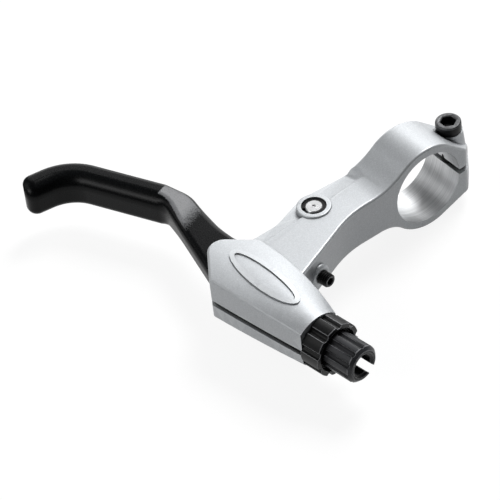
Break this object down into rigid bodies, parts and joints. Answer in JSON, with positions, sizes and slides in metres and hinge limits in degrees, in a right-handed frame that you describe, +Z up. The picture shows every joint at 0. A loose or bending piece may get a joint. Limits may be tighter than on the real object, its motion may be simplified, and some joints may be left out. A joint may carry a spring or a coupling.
{
  "type": "bicycle brake lever",
  "caption": "Flat-bar brake lever with a slotted bar clamp, a pivoting finger blade in a cast body, a reach screw and a fluted cable adjuster with a lock ring.",
  "frame": {"origin": "centre of the handlebar bore", "axes": "+X inboard along the handlebar, -Y forward away from the rider, +Z up along the pivot pin"},
  "size_m": [0.12, 0.104, 0.0272],
  "materials": {
    "silver_casting": "cast, bead-blasted and lacquered silver",
    "black_blade": "satin black coating",
    "bright_steel": "turned, bright",
    "black_steel": "black oxide",
    "bushing_polymer": "plain",
    "black_nylon": "moulded"
  },
  "bodies": {
    "body": {"lever_body": "silver_casting", "pivot_pin": "bright_steel", "pivot_clip": "black_steel", "clamp_bolt": "black_steel"},
    "blade": {"lever_blade": "black_blade", "pivot_bushing_upper": "bushing_polymer", "pivot_bushing_lower": "bushing_polymer"},
    "reach": {"reach_screw": "black_steel"},
    "ring": {"lock_ring": "black_nylon"},
    "barrel": {"barrel_adjuster": "black_nylon"}
  },
  "joints": [
    {"name": "blade_pivot", "type": "hinge", "parent": "body", "child": "blade", "pos_m": [-0.002, -0.0327, 0], "axis": [0, 0, -1], "range_deg": [0, 36]},
    {"name": "reach_screw_turn", "type": "hinge", "parent": "body", "child": "reach", "pos_m": [0.01504, -0.04404, 0], "axis": [0.9903, 0.1392, 0], "continuous": true},
    {"name": "lock_ring_turn", "type": "hinge", "parent": "body", "child": "ring", "pos_m": [0.03703, -0.05892, 0], "axis": [0.9903, 0.1392, 0], "continuous": true},
    {"name": "barrel_turn", "type": "hinge", "parent": "body", "child": "barrel", "pos_m": [0.04198, -0.05823, 0], "axis": [0.9903, 0.1392, 0], "continuous": true}
  ]
}
